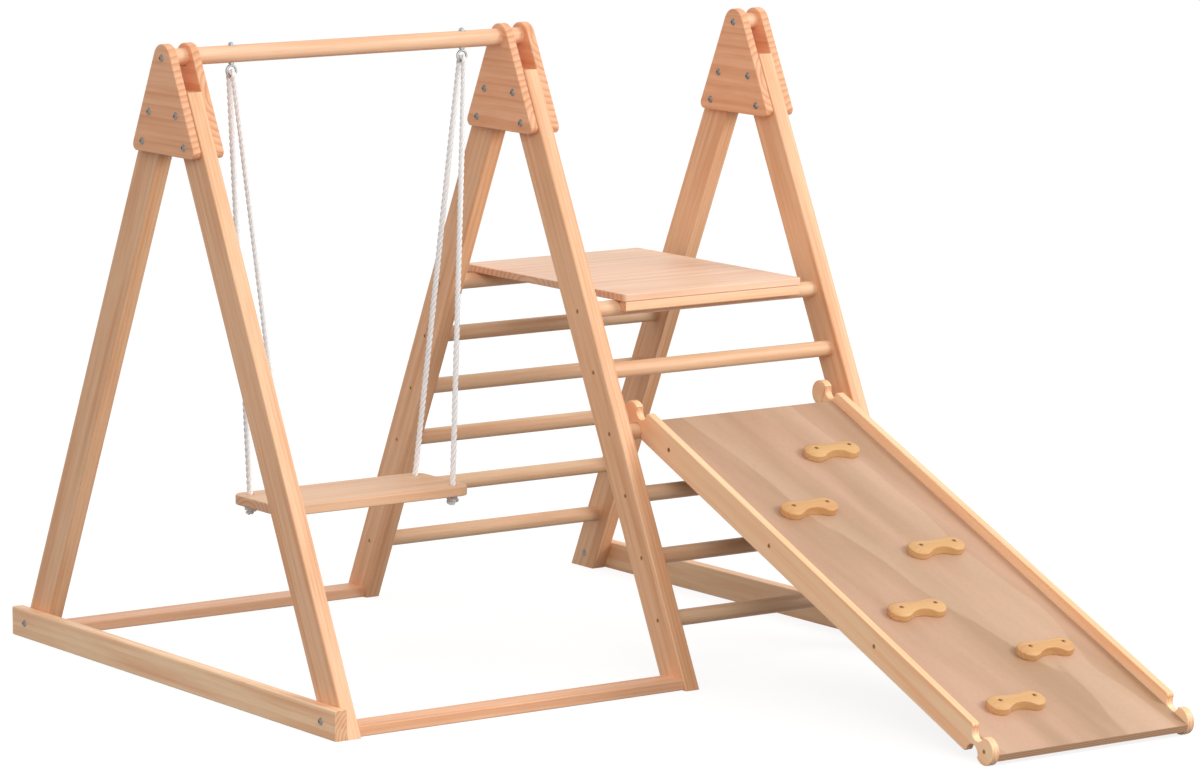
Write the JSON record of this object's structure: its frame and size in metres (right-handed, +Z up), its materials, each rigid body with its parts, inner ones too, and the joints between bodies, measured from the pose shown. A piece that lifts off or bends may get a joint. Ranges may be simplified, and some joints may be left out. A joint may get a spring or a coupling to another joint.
{
  "type": "wooden climbing frame",
  "caption": "Wooden toddler climbing frame: A-frames carrying a rope swing and a rung ladder tower with a platform, and a hooked ramp with climbing holds.",
  "frame": {"origin": "on the floor, under the middle of the whole set's bounding box, ramp included", "axes": "+Z up; +X along the row of frames from the swing to the ladder tower; +Y away from the ramp's foot"},
  "size_m": [1.4394, 2.1149, 1.25],
  "materials": {
    "timber": "clear satin lacquer on planed softwood",
    "dowel_wood": "clear satin lacquer on turned round bar",
    "plate_wood": "clear satin lacquer on glued board",
    "board_wood": "clear satin lacquer on glued board",
    "birch_plywood": "clear satin lacquer on plywood",
    "turned_hold_wood": "clear satin lacquer on shaped wood",
    "zinc_steel": "zinc-plated steel",
    "white_rope": "laid synthetic rope"
  },
  "bodies": {
    "frame": {"left_front_leg": "timber", "left_rear_leg": "timber", "middle_front_leg": "timber", "middle_rear_leg": "timber", "right_front_leg": "timber", "right_rear_leg": "timber", "left_outer_gusset": "plate_wood", "left_inner_gusset": "plate_wood", "middle_swing_side_gusset": "plate_wood", "middle_tower_side_gusset": "plate_wood", "right_inner_gusset": "plate_wood", "right_outer_gusset": "plate_wood", "swing_bar": "dowel_wood", "right_spacer_dowel": "dowel_wood", "left_base_beam": "timber", "right_base_beam": "timber", "front_floor_rail": "timber", "rear_floor_rail": "timber", "front_rung_1": "dowel_wood", "front_rung_2": "dowel_wood", "front_rung_3": "dowel_wood", "front_rung_4": "dowel_wood", "front_rung_5": "dowel_wood", "front_rung_6": "dowel_wood", "rear_rung_1": "dowel_wood", "rear_rung_2": "dowel_wood", "rear_rung_3": "dowel_wood", "rear_rung_4": "dowel_wood", "rear_rung_5": "dowel_wood", "rear_rung_6": "dowel_wood", "platform_board": "board_wood", "platform_front_batten": "timber", "platform_rear_batten": "timber", "platform_batten_screws": "zinc_steel", "gusset_bolts": "zinc_steel", "gusset_cap_nuts": "zinc_steel", "bar_end_bolts": "zinc_steel", "base_beam_bolts": "zinc_steel", "base_beam_cap_nuts": "zinc_steel", "floor_rail_screws": "zinc_steel", "rung_screws": "zinc_steel", "swing_eye_bolts": "zinc_steel", "eye_bolt_washers": "zinc_steel", "eye_bolt_nuts": "zinc_steel"},
    "swing": {"swing_seat": "board_wood", "swing_left_rope": "white_rope", "swing_right_rope": "white_rope"},
    "ramp": {"ramp_left_rail": "timber", "ramp_right_rail": "timber", "ramp_panel": "birch_plywood", "climbing_hold_1": "turned_hold_wood", "climbing_hold_2": "turned_hold_wood", "climbing_hold_3": "turned_hold_wood", "climbing_hold_4": "turned_hold_wood", "climbing_hold_5": "turned_hold_wood", "climbing_hold_6": "turned_hold_wood", "climbing_hold_screws": "zinc_steel", "ramp_rail_screws": "zinc_steel"}
  },
  "joints": [
    {"name": "swing_hang", "type": "hinge", "parent": "frame", "child": "swing", "pos_m": [-0.288, 0.4349, 1.1795], "axis": [1, 0, 0], "range_deg": [-45, 45]},
    {"name": "ramp_hook", "type": "hinge", "parent": "frame", "child": "ramp", "pos_m": [0.3855, 0.07362, 0.469], "axis": [-1, 0, 0], "range_deg": [0, 40]}
  ]
}
